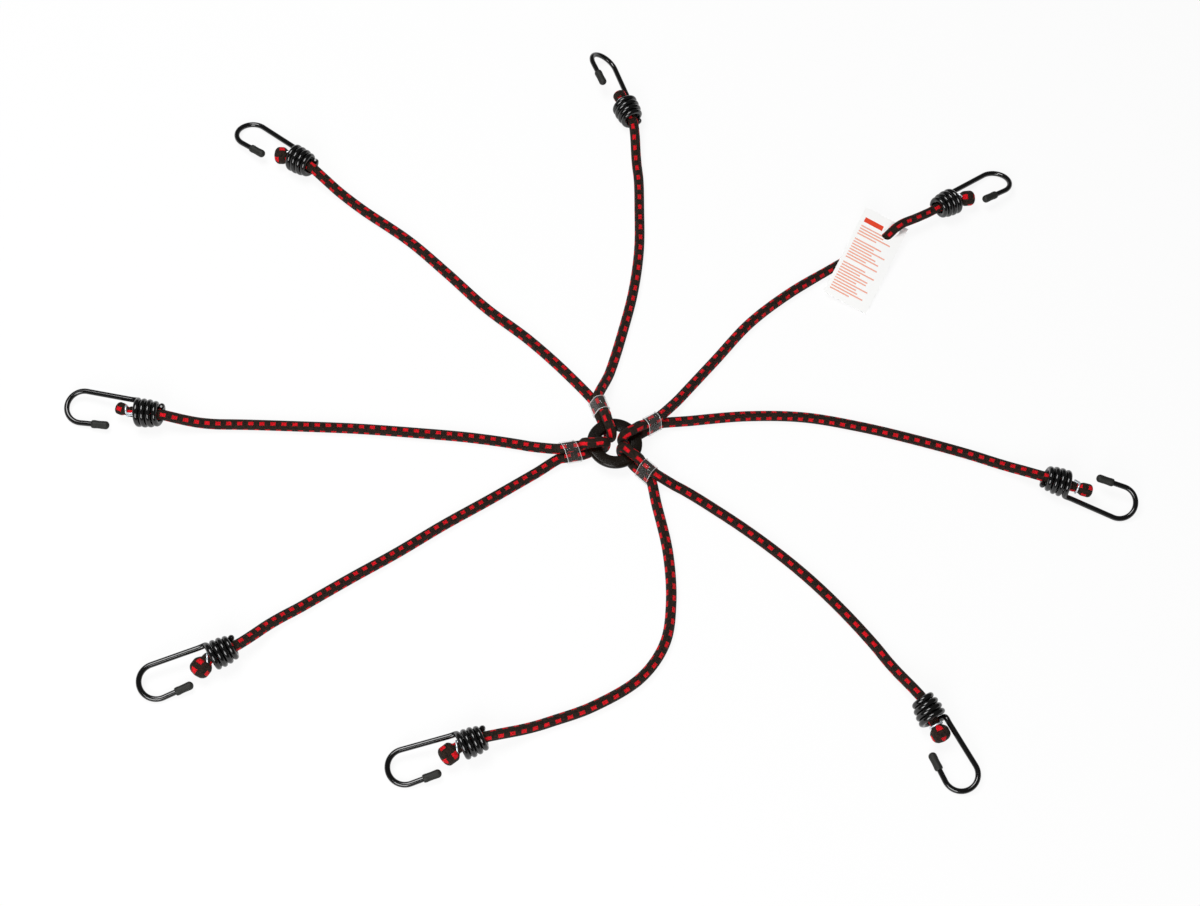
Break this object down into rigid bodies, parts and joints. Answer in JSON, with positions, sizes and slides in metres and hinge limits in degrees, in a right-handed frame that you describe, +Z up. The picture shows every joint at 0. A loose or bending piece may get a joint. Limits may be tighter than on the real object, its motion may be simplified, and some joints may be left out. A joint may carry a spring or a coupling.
{
  "type": "multi-arm bungee strap",
  "caption": "Spider bungee strap: elastic cords looped through a centre ring in clear sleeves, each arm ending in a coiled wire hook with a rubber tip cap.",
  "frame": {"origin": "on the surface that the strap lies on, below the middle of the box round its ring, sleeves, hooks, caps, crimped rings and tag", "axes": "+Z up from the surface, +X to the right in the picture, along the spread's longest reach, +Y away from the camera"},
  "size_m": [0.8504, 0.688, 0.0235],
  "materials": {
    "elastic_cord": "black braided polyester sheath with staggered red dashes over a rubber core",
    "ring_plastic": "black moulded nylon, faint sheen",
    "clear_vinyl": "clear shrink sleeve",
    "coated_wire": "spring steel wire with a gloss black plastic coating",
    "tip_rubber": "matt black dipped rubber",
    "crimp_steel": "zinc plated steel wire",
    "tag_card": "thin white plastic card, bare"
  },
  "bodies": {
    "centre": {"sleeve_ab": "clear_vinyl", "sleeve_cd": "clear_vinyl", "sleeve_ef": "clear_vinyl", "sleeve_gh": "clear_vinyl", "loop_ab": "elastic_cord", "loop_cd": "elastic_cord", "loop_ef": "elastic_cord", "loop_gh": "elastic_cord", "arm_cord_a": "elastic_cord", "arm_cord_b": "elastic_cord", "arm_cord_c": "elastic_cord", "arm_cord_d": "elastic_cord", "arm_cord_e": "elastic_cord", "arm_cord_f": "elastic_cord", "arm_cord_g": "elastic_cord", "arm_cord_h": "elastic_cord"},
    "ring": {"centre_ring": "ring_plastic"},
    "end_a": {"cord_end_a": "elastic_cord"},
    "hook_a": {"hook_a": "coated_wire", "hook_cap_a": "tip_rubber", "cord_tip_a": "elastic_cord", "crimp_ring_a": "crimp_steel"},
    "end_b": {"cord_end_b": "elastic_cord"},
    "hook_b": {"hook_b": "coated_wire", "hook_cap_b": "tip_rubber", "cord_tip_b": "elastic_cord", "crimp_ring_b": "crimp_steel"},
    "end_c": {"cord_end_c": "elastic_cord"},
    "hook_c": {"hook_c": "coated_wire", "hook_cap_c": "tip_rubber", "cord_tip_c": "elastic_cord", "crimp_ring_c": "crimp_steel"},
    "end_d": {"cord_end_d": "elastic_cord"},
    "hook_d": {"hook_d": "coated_wire", "hook_cap_d": "tip_rubber", "cord_tip_d": "elastic_cord", "crimp_ring_d": "crimp_steel"},
    "end_e": {"cord_end_e": "elastic_cord"},
    "hook_e": {"hook_e": "coated_wire", "hook_cap_e": "tip_rubber", "cord_tip_e": "elastic_cord", "crimp_ring_e": "crimp_steel"},
    "end_f": {"cord_end_f": "elastic_cord"},
    "hook_f": {"hook_f": "coated_wire", "hook_cap_f": "tip_rubber", "cord_tip_f": "elastic_cord", "crimp_ring_f": "crimp_steel"},
    "end_g": {"cord_end_g": "elastic_cord"},
    "hook_g": {"hook_g": "coated_wire", "hook_cap_g": "tip_rubber", "cord_tip_g": "elastic_cord", "crimp_ring_g": "crimp_steel"},
    "end_h": {"cord_end_h": "elastic_cord"},
    "hook_h": {"hook_h": "coated_wire", "hook_cap_h": "tip_rubber", "cord_tip_h": "elastic_cord", "crimp_ring_h": "crimp_steel"},
    "tag": {"hang_tag": "tag_card"}
  },
  "joints": [
    {"name": "ring_turn", "type": "hinge", "parent": "centre", "child": "ring", "pos_m": [0.00562, -0.03615, 0.01095], "axis": [0, 0, 1], "continuous": true},
    {"name": "stretch_a", "type": "slide", "parent": "centre", "child": "end_a", "axis": [-0.8942, 0.4478, 0], "range_m": [0, 0.2], "stiffness_N_per_m": 400, "deforming": ["arm_cord_a"]},
    {"name": "stretch_b", "type": "slide", "parent": "centre", "child": "end_b", "axis": [-0.5165, 0.8563, 0], "range_m": [0, 0.2], "stiffness_N_per_m": 400, "deforming": ["arm_cord_b"]},
    {"name": "stretch_c", "type": "slide", "parent": "centre", "child": "end_c", "axis": [0.7593, 0.6508, 0], "range_m": [0, 0.2], "stiffness_N_per_m": 400, "deforming": ["arm_cord_c"]},
    {"name": "stretch_d", "type": "slide", "parent": "centre", "child": "end_d", "axis": [0.9898, -0.1426, 0], "range_m": [0, 0.2], "stiffness_N_per_m": 400, "deforming": ["arm_cord_d"]},
    {"name": "stretch_e", "type": "slide", "parent": "centre", "child": "end_e", "axis": [0.5635, -0.8261, 0], "range_m": [0, 0.2], "stiffness_N_per_m": 400, "deforming": ["arm_cord_e"]},
    {"name": "stretch_f", "type": "slide", "parent": "centre", "child": "end_f", "axis": [-0.8738, -0.4863, 0], "range_m": [0, 0.2], "stiffness_N_per_m": 400, "deforming": ["arm_cord_f"]},
    {"name": "stretch_g", "type": "slide", "parent": "centre", "child": "end_g", "axis": [-0.8241, -0.5664, 0], "range_m": [0, 0.2], "stiffness_N_per_m": 400, "deforming": ["arm_cord_g"]},
    {"name": "stretch_h", "type": "slide", "parent": "centre", "child": "end_h", "axis": [-1, -0.007, 0], "range_m": [0, 0.2], "stiffness_N_per_m": 400, "deforming": ["arm_cord_h"]},
    {"name": "swivel_a", "type": "hinge", "parent": "end_a", "child": "hook_a", "pos_m": [-0.28853, 0.17742, 0.01266], "axis": [-0.8852, 0.4433, -0.1415], "continuous": true},
    {"name": "swivel_b", "type": "hinge", "parent": "end_b", "child": "hook_b", "pos_m": [-0.02822, 0.2833, 0.01158], "axis": [-0.5163, 0.8558, -0.0325], "continuous": true},
    {"name": "swivel_c", "type": "hinge", "parent": "end_c", "child": "hook_c", "pos_m": [0.24907, 0.24339, 0.0124], "axis": [0.7542, 0.6464, -0.1152], "continuous": true},
    {"name": "swivel_d", "type": "hinge", "parent": "end_d", "child": "hook_d", "pos_m": [0.35675, -0.00373, 0.01203], "axis": [0.9867, -0.1422, -0.0782], "continuous": true},
    {"name": "swivel_e", "type": "hinge", "parent": "end_e", "child": "hook_e", "pos_m": [0.27104, -0.21797, 0.01267], "axis": [0.5578, -0.8177, -0.1421], "continuous": true},
    {"name": "swivel_f", "type": "hinge", "parent": "end_f", "child": "hook_f", "pos_m": [-0.06072, -0.30332, 0.01255], "axis": [-0.8664, -0.4822, -0.1295], "continuous": true},
    {"name": "swivel_g", "type": "hinge", "parent": "end_g", "child": "hook_g", "pos_m": [-0.25619, -0.26551, 0.01231], "axis": [-0.8195, -0.5632, -0.1059], "continuous": true},
    {"name": "swivel_h", "type": "hinge", "parent": "end_h", "child": "hook_h", "pos_m": [-0.35647, -0.07908, 0.01255], "axis": [-0.9916, -0.0069, -0.1295], "continuous": true},
    {"name": "tag_swing", "type": "hinge", "parent": "end_c", "child": "tag", "pos_m": [0.20562, 0.20785, 0.00855], "axis": [0.7314, 0.682, 0], "range_deg": [-27, 8]}
  ]
}
